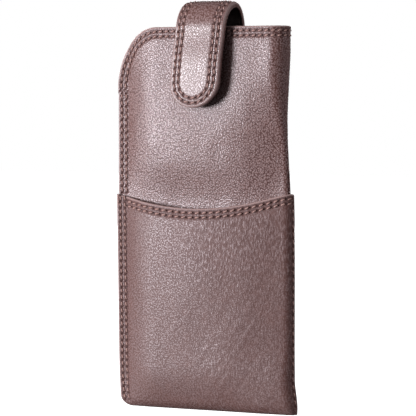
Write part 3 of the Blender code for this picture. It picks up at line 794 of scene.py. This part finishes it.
def panel_stations(angle_step, middle_step):
    """Front stations: evenly turned round the mouth's corner, then evenly spaced across the panel."""
    angles = np.radians(spread(0, 90, angle_step))
    corner = CORNER[0] * (1 - np.cos(angles)) / SPAN
    return np.concatenate([corner, spread(corner[-1], 1, middle_step / SPAN)[1:]])


def wrap_stations(angle_step, middle_step, fold_step):
    """Stations of the whole wrap: an even number, which mirror each other."""
    front = panel_stations(angle_step, middle_step)
    fold = spread(1, 1.5 - fold_step / 2, fold_step)[1:]
    half = np.concatenate([front, fold])
    return np.concatenate([half, (3 - half)[::-1]])


def rolled(points, normals, distance, radius=ROLL):
    """Rounds a sheet's edge: points closer to it than radius sink along a quarter circle."""
    within = np.clip(radius - distance, 0, radius)
    sink = radius - np.sqrt(radius**2 - within**2)
    return points - normals * sink[..., None]


def edge_distance(points, front):
    """Distance of the pouch's points from its sewn edge, rounded corner and mouth."""
    x, z = points[..., 0], points[..., 2]
    from_edge = x - edge_x(z)
    corner_x = np.clip((EDGE_X + CORNER[0] - x) / CORNER[0], 0, 1)
    corner_z = np.clip((z - SEAM_TOP) / CORNER[1], 0, 1)
    reach = np.hypot(corner_x, corner_z)
    total = np.maximum(corner_x + corner_z, 1e-9)
    from_corner = (1 - reach) * (CORNER[0] * corner_x + CORNER[1] * corner_z) / total
    from_mouth = HEIGHT - z
    inside = np.where((corner_x > 0) & (corner_z > 0), from_corner, np.minimum(from_edge, from_mouth))
    return np.maximum(np.where(front, inside, from_mouth), 0)


def surface_place(uv):
    """The two coordinates of a UV map in metres."""
    return uv[..., 0] * MM, uv[..., 1] * MM


def sheet_uv(points):
    """UV map in millimetres: the level distance along each row, and the height."""
    steps = np.linalg.norm(np.diff(points[..., :2], axis=0), axis=2)
    across = np.concatenate([np.zeros((1, points.shape[1])), np.cumsum(steps, axis=0)])
    return np.stack([across, points[..., 2]], axis=-1) / MM


def cut_sheet(made, points):
    """Works out a UV map in metres from a lining's points, and does nothing with it."""
    uv = sheet_uv(points) * MM


def fine_heights(top, top_rows, gap, step):
    """Heights of a leather's grid: close rows at its foot and its turned top, and even ones between."""
    low = FOOT_ROWS[-1] + gap
    body = low + (top - top_rows[0] - 0.35 * MM - low) * spread(0, 1, step)[None, :]
    foot = np.repeat(FOOT_ROWS[None, :], len(top), 0)
    return np.concatenate([foot, body, top - top_rows[None, :]], axis=1)


def facing_foot(x):
    """Height of the mouth facing's lower edge, which dips beside the sewn edge to back the corner."""
    low, high = SEAM_TOP - 2 * MM, HEIGHT - 14 * MM
    return low + (high - low) * ease((x - EDGE_X) / (14 * MM))


def wrap_rows_at(offset):
    """Stations and heights of a row at an offset from the edge: up the front and along its mouth."""
    seam_z = spread(3 * MM, SEAM_TOP, 2 * MM)
    seam = station_at(edge_x(seam_z) + offset, seam_z)
    angles = np.radians(spread(0, 90, 4))[1:]
    corner_x = EDGE_X + CORNER[0] - (CORNER[0] - offset) * np.cos(angles)
    corner_z = SEAM_TOP + (CORNER[1] - offset) * np.sin(angles)
    corner = station_at(corner_x, corner_z)
    top = spread(corner[-1], 1, 0.02)[1:]
    front = np.concatenate([seam, corner, top])
    heights = np.concatenate([seam_z, corner_z, np.full(len(top), HEIGHT - offset)])
    return front, heights


def mouth_line(offset):
    """The mouth's part of a row: up the front's corner, round the fold and down the back's corner."""
    front, heights = wrap_rows_at(offset)
    upper = heights > SEAM_TOP
    fold = spread(1, 2, 0.05)[1:-1]
    stations = np.concatenate([front[upper], fold, (3 - front[upper])[::-1]])
    level = np.full(len(fold), HEIGHT - offset)
    return stations, np.concatenate([heights[upper], level, heights[upper][::-1]])


def seam_line(offset, low, high, back):
    z = spread(low, high, 2 * MM)
    stations = station_at(edge_x(z) + offset, z)
    return (3 - stations if back else stations), z


def pouch_rows():
    """Every row on the pouch, by the name of the CAD thread that it replaces."""
    rows = {}
    for word, offset in zip(("outer", "inner"), ROW_OFFSETS):
        rows[f"mouth_thread_{word}"] = surface_row(wrap, *mouth_line(offset))
        rows[f"seam_thread_back_{word}"] = surface_row(wrap, *seam_line(offset, 3 * MM, SEAM_TOP, True))
        above = seam_line(offset, POCKET_HEM + 0.4 * MM, SEAM_TOP, False)
        below = seam_line(offset, 3 * MM, POCKET_HEM - 0.6 * MM, False)
        rows[f"seam_thread_upper_{word}"] = surface_row(wrap, *above)
        rows[f"seam_thread_front_{word}"] = surface_row(pocket, *below)
    start = station_at(EDGE_X + 6.3 * MM, 90 * MM)
    stations = np.concatenate([spread(start, 1, 0.02), spread(1, SIDE_ROW, 0.05)[1:]])
    hem = hem_height(wrap(stations, POCKET_HEM)[..., 0])
    for word, offset in zip(("upper", "lower"), HEM_OFFSETS):
        rows[f"pocket_hem_thread_{word}"] = surface_row(pocket, stations, hem - offset, POCKET_PITCH)
    heights = spread(4 * MM, POCKET_HEM - 5 * MM, 3 * MM)
    side = np.full(len(heights), SIDE_ROW)
    rows["pocket_side_thread"] = surface_row(pocket, side, heights, POCKET_PITCH)
    return rows


def leather_wrap(rows):
    stations = wrap_stations(2.4, 0.85 * MM, 0.045)[:, None]
    x = wrap(stations, HEIGHT / 2)[..., 0]
    top = edge_top(x)
    top_rows = np.array([1.1, 0.75, 0.5, 0.3, 0.15, 0.05, 0.0]) * MM
    z = fine_heights(top, top_rows, 0.5 * MM, 0.47 / 170)
    points = wrap(stations, z)
    normals = grid_normals(points)
    front = np.minimum(stations, 3 - stations) < 1
    uv = sheet_uv(points)
    u, v = surface_place(uv)
    soft = 0.35 * MM * waves(u, v, 21 * MM, 30 * MM, 1.3) + 0.12 * MM * waves(u, v, 7 * MM, 9 * MM, 4.1)
    soft = soft * ease((edge_distance(points, front) - 5 * MM) / (8 * MM))
    soft = soft * ease((z - 3 * MM) / (12 * MM))
    pressed, hole = press(points, rows)
    points = points + normals * (soft - pressed)[..., None]
    distance = edge_distance(points, front)
    points = rolled(points, normals, distance)
    inner = wrap(stations, np.maximum(z, SKIN), SKIN, 0.0, SKIN)
    values = {"hole": hole, "edge": rim_wear_and_highlight(distance)}
    made = shell("leather_wrap", points, inner, LEATHER, "case", uv, values, foot=True)
    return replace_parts(made, "outer_wrap")


def mouth_facing():
    """The leather strip that lines the mouth, flush behind the wrap's leather."""
    stations = wrap_stations(4, 3 * MM, 0.06)[:, None]
    inset = 0.5 * MM
    x = wrap(stations, HEIGHT / 2, 0, inset)[..., 0]
    low, high = facing_foot(x), edge_top(x) - 0.35 * MM
    share = np.concatenate([spread(0, 0.93, 0.08), [0.96, 0.98, 0.99, 1]])[None, :]
    z = low + (high - low) * share
    face = wrap(stations, z, SKIN + 0.7 * MM, inset)
    back = wrap(stations, z, SKIN + 0.1 * MM, inset)
    uv = sheet_uv(face)
    made = shell("mouth_facing_leather", back, face, FACING, "case", uv, step=1)
    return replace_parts(made, "mouth_facing")


def body_lining():
    """The woven lining bag, a little slack, hanging from the facing."""
    stations = wrap_stations(4, 2 * MM, 0.06)[:, None]
    inset = 1.0 * MM
    x = wrap(stations, HEIGHT / 2, 0, inset)[..., 0]
    deep = 1.3 * MM + 1.5 * MM * ease((x - EDGE_X - 7 * MM) / (6 * MM))
    low, top = 2.8 * MM, facing_foot(x) + 1.5 * MM
    z = low + (top - low) * spread(0, 1, 0.02)[None, :]
    foot = np.minimum(low, deep)
    outer = wrap(stations, z, deep, inset, foot)
    uv = sheet_uv(outer)
    slack = 0.12 * MM * (1 + waves(*surface_place(uv), 9 * MM, 22 * MM, 7.7))
    thick = 0.4 * MM
    inner = wrap(stations, np.maximum(z, low + thick), deep + thick + slack, inset, foot + thick)
    made = shell("lining_bag", outer, inner, LINING, "case", uv, foot=True, step=1)
    cut_sheet(made, outer)
    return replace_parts(made, "body_lining")


def padding(side):
    """The thin foam between a panel's leather and its lining."""
    front = spread(0.155, 0.955, 0.02)
    stations = (front if side == "front" else 3 - front[::-1])[:, None]
    z = spread(4 * MM, HEIGHT - 14.5 * MM, 3 * MM)[None, :]
    outer = wrap(stations, z, SKIN + GAP)
    from_ends = np.minimum(z - z[0, 0], z[0, -1] - z)
    from_sides = SPAN * np.minimum(stations - stations[0], stations[-1] - stations)
    distance = np.minimum(from_ends, from_sides)
    thick = 1.1 * MM * np.clip(distance / (3 * MM), 0.25, 1) ** 0.5
    inner = wrap(stations, z, SKIN + GAP + thick)
    made = shell(f"{side}_foam", outer, inner, FOAM, "case", sheet_uv(outer), step=1)
    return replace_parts(made, f"{side}_padding")


def pocket_stations(angle_step, middle_step, fold_step):
    front = panel_stations(angle_step, middle_step)
    return np.concatenate([front, spread(1, POCKET_END, fold_step)[1:]])


def leather_pocket(rows):
    """The slip pocket's leather: a rolled hem, pleats under the hem's stitches and slanting creases."""
    stations = pocket_stations(2.2, 0.55 * MM, 0.045)[:, None]
    x = wrap(stations, POCKET_HEM)[..., 0]
    top = hem_height(x)
    top_rows = np.array([1.1, 0.8, 0.55, 0.35, 0.18, 0.06, 0.0]) * MM
    z = fine_heights(top, top_rows, 0.4 * MM, 0.42 / 92)
    points = pocket(stations, z)
    normals = grid_normals(points)
    uv = sheet_uv(points)
    u, v = surface_place(uv)
    below = top - z
    inside = ease((x - EDGE_X - 6 * MM) / (8 * MM)) * ease((FOLD_X - x + 2 * MM) / (8 * MM))
    calm = ease((z - 3 * MM) / (14 * MM)) * ease((below - 4.6 * MM) / (3 * MM)) * inside
    right = ease((x + 22 * MM) / (34 * MM))
    low = ease((below - 22 * MM) / (24 * MM))
    creased = right * (1 - 0.4 * low)
    fading = np.exp(-np.maximum(below - 6 * MM, 0) / (22 * MM))
    pleats = waves(u, v, 1.5 * MM, 11 * MM, 2.2, math.radians(5)) * fading
    slanted = (0.25 + 0.75 * right) * (0.3 + 0.7 * low)
    slanting = waves(u, v, 2.0 * MM, 10 * MM, 5.5, math.radians(-34)) * slanted
    broad = waves(u, v, 16 * MM, 24 * MM, 9.2)
    soft = calm * (0.06 * MM * pleats * (0.35 + 0.65 * right) + 0.07 * MM * slanting + 0.3 * MM * broad)
    pressed, hole = press(points, rows)
    points = points + normals * (soft - pressed)[..., None]
    edge = np.maximum(np.minimum(below, points[..., 0] - edge_x(z)), 0)
    free = np.maximum((POCKET_END - stations) / 0.1 * 2.0 * MM, 0)
    points = rolled(points, normals, np.minimum(edge, free))
    inner = pocket(stations, z, GAP + 0.1 * MM)
    lifted = pocket(stations, z, POCKET_SKIN - SKIN)
    hem = ease((below - 8 * MM) / (0.6 * MM))[..., None]
    inner = inner * (1 - hem) + lifted * hem
    creased = creased * ease((below - 3 * MM) / (4 * MM))
    values = {"hole": hole, "edge": rim_wear_and_highlight(edge), "crease": creased}
    made = shell("pocket_leather", points, inner, POCKET_LEATHER, "case", uv, values)
    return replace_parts(made, "pocket_panel")


def pocket_lining():
    stations = np.concatenate([panel_stations(4, 3 * MM), spread(1, 1.45, 0.08)[1:]])[:, None]
    x = wrap(stations, POCKET_HEM, 0, 0.8 * MM)[..., 0]
    low, high = 1.2 * MM, hem_height(x) - 10 * MM
    z = low + (high - low) * spread(0, 1, 0.02)[None, :]
    outer = pocket(stations, z, GAP + 0.45 * MM)
    inner = pocket(stations, z, GAP + 0.1 * MM)
    made = shell("pocket_lining_cloth", outer, inner, LINING, "case", sheet_uv(outer), step=1)
    cut_sheet(made, outer)
    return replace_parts(made, "pocket_lining")


# ---- the strap


def strap_top(x, distance, edge=0.8 * MM):
    """Lift of the strap's outer face: domed across, and rounded at its outline."""
    bent = np.clip((np.abs(x) - 5.5 * MM) / (STRAP_WIDTH / 2 - 5.5 * MM), 0, 1)
    within = np.clip(edge - distance, 0, edge)
    return STRAP_HALF - 0.6 * MM * bent**2 - edge + np.sqrt(edge**2 - within**2)


def strap_reach(x, end, radius, inset=0.0):
    """How far along the strap its outline, drawn in by inset, lies at x."""
    corner = np.maximum(np.abs(x) - (STRAP_WIDTH / 2 - radius), 0)
    return end - radius + np.sqrt(np.maximum((radius - inset) ** 2 - corner**2, 0))


def strap_grid(hand, end, radius):
    """Grids of half the strap's leather, from the loop's top to its end: x, s and how far it is turned
    down over the outline. hand is -1 to the rear and 1 to the front."""
    half = STRAP_WIDTH / 2
    down = np.array([0.15, 0.5, 1.0, 1.5, 1.75]) * MM
    x = half * np.sin(np.radians(spread(-90, 90, 2.4)))
    x = np.concatenate([np.full(len(down), -half), x, np.full(len(down), half)])[:, None]
    turned_side = np.concatenate([down[::-1], np.zeros(len(x) - 2 * len(down)), down])[:, None]
    reach = strap_reach(x, end, radius)
    share = spread(0, 1, 0.36 * MM / end)
    share = np.concatenate([share[:-1], [0.996, 0.9985, 0.9996], np.ones(len(down) + 1)])[None, :]
    turned_end = np.concatenate([np.zeros(share.shape[1] - len(down)), down])[None, :]
    return x, hand * reach * share, np.maximum(turned_side, turned_end)


def strap_rows(hand, end, radius):
    """The two rows along a stretch: down one side, round its end and up the other side."""
    rows = []
    for offset in ROW_OFFSETS:
        half = STRAP_WIDTH / 2 - offset
        bend = max(radius - offset, 0.6 * MM)
        straight = spread(0, end - offset - bend, 2 * MM)
        angles = np.radians(spread(0, 90, 8))
        turn_x = half - bend + bend * np.cos(angles)
        turn_s = end - offset - bend + bend * np.sin(angles)
        flat = spread(half - bend, 0, 2 * MM)[1:] if half - bend > 0.1 * MM else np.array([])
        x = np.concatenate([np.full(len(straight) - 1, half), turn_x, flat])
        s = np.concatenate([straight[:-1], turn_s, np.full(len(flat), end - offset)])
        x, s = np.concatenate([x, -x[::-1][1:]]), np.concatenate([s, s[::-1][1:]])

        def surface(a, b):
            lift = strap_top(a, end_distance(a, b, end, radius))
            return strap(a, b, lift)

        line = surface(x, hand * s)
        step = 0.05 * MM
        along = surface(x + step, hand * s) - surface(x - step, hand * s)
        down = surface(x, hand * s + step) - surface(x, hand * s - step)
        rows.append(Row(line, unit(np.cross(down, along)), STRAP_PITCH))
    return rows


def strap_piece(word, hand, end, radius):
    """Half of the strap, from the loop's top to its end: leather, lining and two rows of thread."""
    rows = strap_rows(hand, end, radius)
    x, s, turned = strap_grid(hand, end, radius)
    if hand > 0:
        x, s, turned = x[::-1], s[::-1], turned[::-1]
    distance = np.maximum(end_distance(x, s, end, radius), 0)
    flat = strap(x, s, strap_top(x, distance))
    normals = grid_normals(flat)
    pressed, hole = press(flat, rows)
    over = strap(x, s, strap_top(x, distance) - turned)
    points = over - normals * np.where(turned > 0, 0, pressed)[..., None]
    margin = ease(distance / (0.8 * MM))
    inset = 1.1 * MM
    inner_x, inner_s = x * (1 - inset / (STRAP_WIDTH / 2)), s * (1 - inset / end)
    inner = strap(inner_x, inner_s, 1.3 * MM * margin - inset)
    uv = np.stack([np.broadcast_to(x, s.shape), s + turned], axis=-1) / MM
    values = {"hole": hole, "edge": rim_wear_and_highlight(distance) * (turned < 0.3 * MM)}
    leather = shell(f"strap_{word}_leather", points, inner, STRAP_LEATHER, None, uv, values)
    lining = strap_lining(word, hand, end, radius)
    pieces = [leather, lining]
    for name, row in zip(("outer", "inner"), rows):
        pieces.append(stitch_thread(f"strap_{word}_stitches_{name}", row, None, ()))
    for piece in pieces:
        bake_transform(piece)
    return pieces


def strap_lining(word, hand, end, radius):
    """The dark lining under the strap, a little smaller than its leather."""
    inset = 0.8 * MM
    half = STRAP_WIDTH / 2 - inset
    x = (half * np.sin(np.radians(spread(-90, 90, 6))))[:, None]
    s = hand * strap_reach(x, end, radius, inset) * spread(0, 1, 0.015)[None, :]
    near = np.clip(1 - (end_distance(x, s, end, radius) - inset) / (0.5 * MM), 0, 1)
    under = strap(x, s, -STRAP_HALF + 0.3 * MM * near**2)
    over = strap(x, s, 0.15 * MM)
    uv = np.stack([np.broadcast_to(x, s.shape), s], axis=-1) / MM
    if hand > 0:
        under, over, uv = under[::-1], over[::-1], uv[::-1]
    made = shell(f"strap_{word}_lining", under, over, STRAP_LINING, None, uv, step=1)
    return made


def strap_pieces():
    rear_end = CROWN + REAR_BEND.z - ANCHOR_FOOT
    front_end = CROWN + FRONT_BEND.z - TAB_FOOT
    rear = strap_piece("rear", -1, rear_end, STRAP_CORNER)
    front = strap_piece("front", 1, front_end, STRAP_WIDTH / 2)
    for piece, nodes in (
        (rear[0], ("strap_anchor_outer", "strap_anchor_core")),
        (rear[1], ("strap_anchor_lining",)),
        (rear[2], ("strap_anchor_thread_outer", "strap_loop_thread_left_outer")),
        (rear[3], ("strap_anchor_thread_inner", "strap_loop_thread_left_inner")),
        (front[0], ("strap_tab_outer", "strap_tab_core", "strap_loop_outer", "strap_loop_core")),
        (front[1], ("strap_tab_lining", "strap_loop_lining")),
        (front[2], ("strap_tab_thread_outer", "strap_loop_thread_right_outer")),
        (front[3], ("strap_tab_thread_inner", "strap_loop_thread_right_inner")),
    ):
        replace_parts(piece, *nodes)


# ---- room, light and camera


def studio():
    """The floor, and a dim sky that the camera sees as white."""
    n = Nodes("pale_floor")
    material = n.shade({
        "Base Color": (0.9, 0.9, 0.9, 1),
        "Roughness": 0.9,
        "Emission Color": (1, 1, 1, 1),
        "Emission Strength": 1.0,
    })
    side = 3.0
    corners = [(-side, -side, 0), (side, -side, 0), (side, side, 0), (-side, side, 0)]
    floor = put("floor", corners, [(0, 1, 2, 3)], material, None)
    floor.visible_diffuse = False
    floor.visible_glossy = False
    world = bpy.data.worlds.new("studio")
    bpy.context.scene.world = world
    world.use_nodes = True
    tree = world.node_tree
    dim = tree.nodes["Background"]
    white = tree.nodes.new("ShaderNodeBackground")
    for sky, colour, strength in ((dim, (0.93, 0.96, 1.0, 1), 0.14), (white, (1, 1, 1, 1), 1.0)):
        sky.inputs["Color"].default_value = colour
        sky.inputs["Strength"].default_value = strength
    seen = tree.nodes.new("ShaderNodeLightPath")
    choose = tree.nodes.new("ShaderNodeMixShader")
    tree.links.new(seen.outputs["Is Camera Ray"], choose.inputs[0])
    tree.links.new(dim.outputs[0], choose.inputs[1])
    tree.links.new(white.outputs[0], choose.inputs[2])
    tree.links.new(choose.outputs[0], tree.nodes["World Output"].inputs["Surface"])


def aimed(name, data, target, azimuth, elevation, distance):
    """Places an object in a direction from a target, and turns it to face it."""
    made = bpy.data.objects.new(name, data)
    bpy.context.scene.collection.objects.link(made)
    a, e = math.radians(azimuth), math.radians(elevation)
    away = Vector((math.sin(a) * math.cos(e), -math.cos(a) * math.cos(e), math.sin(e)))
    made.location = target + away * distance
    made.rotation_euler = (-away).to_track_quat("-Z", "Y").to_euler()
    return made


def softbox(name, azimuth, elevation, distance, size, power, mirrored=True):
    """An area light that faces the object. One that isn't mirrored gives light but no gloss."""
    light = bpy.data.lights.new(name, "AREA")
    light.shape = "RECTANGLE"
    light.size, light.size_y = size
    light.energy = power
    centre = Vector((0, 0, 0.6 * HEIGHT))
    aimed(name, light, centre, azimuth, elevation, distance).visible_glossy = mirrored


def camera():
    azimuth, elevation, distance = 25.0, 2.7, 1050 * MM
    aim_across, aim_height = 2.65 * MM, 92.4 * MM
    data = bpy.data.cameras.new("camera")
    data.lens = 198.7
    data.sensor_width = 36
    data.clip_start = 0.05
    a = math.radians(azimuth)
    axis = Vector(((EDGE_X + SIDE_X) / 2, MIDDLE_Y, aim_height))
    target = axis + Vector((math.cos(a), math.sin(a), 0)) * aim_across
    bpy.context.scene.camera = aimed("camera", data, target, azimuth, elevation, distance)


def main():
    scene = bpy.context.scene
    scene.view_settings.view_transform = "Standard"
    studio()
    softbox("key", -38, 38, 1.3, (1.1, 0.9), 9.5, mirrored=False)
    softbox("sheen", -34, 1, 1.2, (0.42, 0.30), 19.5)
    softbox("sheen_left", -62, 1, 1.2, (0.3, 0.30), 2)
    softbox("side_fill", 105, 16, 1.4, (0.8, 0.8), 8, mirrored=False)
    softbox("rear_fill", 200, 10, 1.5, (1.0, 0.6), 9)
    camera()
    rows = pouch_rows()
    on_pocket = [k for k in rows if k.startswith(("pocket", "seam_thread_front"))]
    leather_wrap([row for key, row in rows.items() if key not in on_pocket])
    leather_pocket([rows[key] for key in on_pocket])
    mouth_facing()
    body_lining()
    pocket_lining()
    padding("front")
    padding("back")
    for key, row in rows.items():
        replaced = () if "upper_" in key and "seam" in key else (key,)
        stitch_thread(key.replace("thread", "stitches"), row, "case", replaced)
    bartack()
    strap_pieces()
    carried_over()


main()
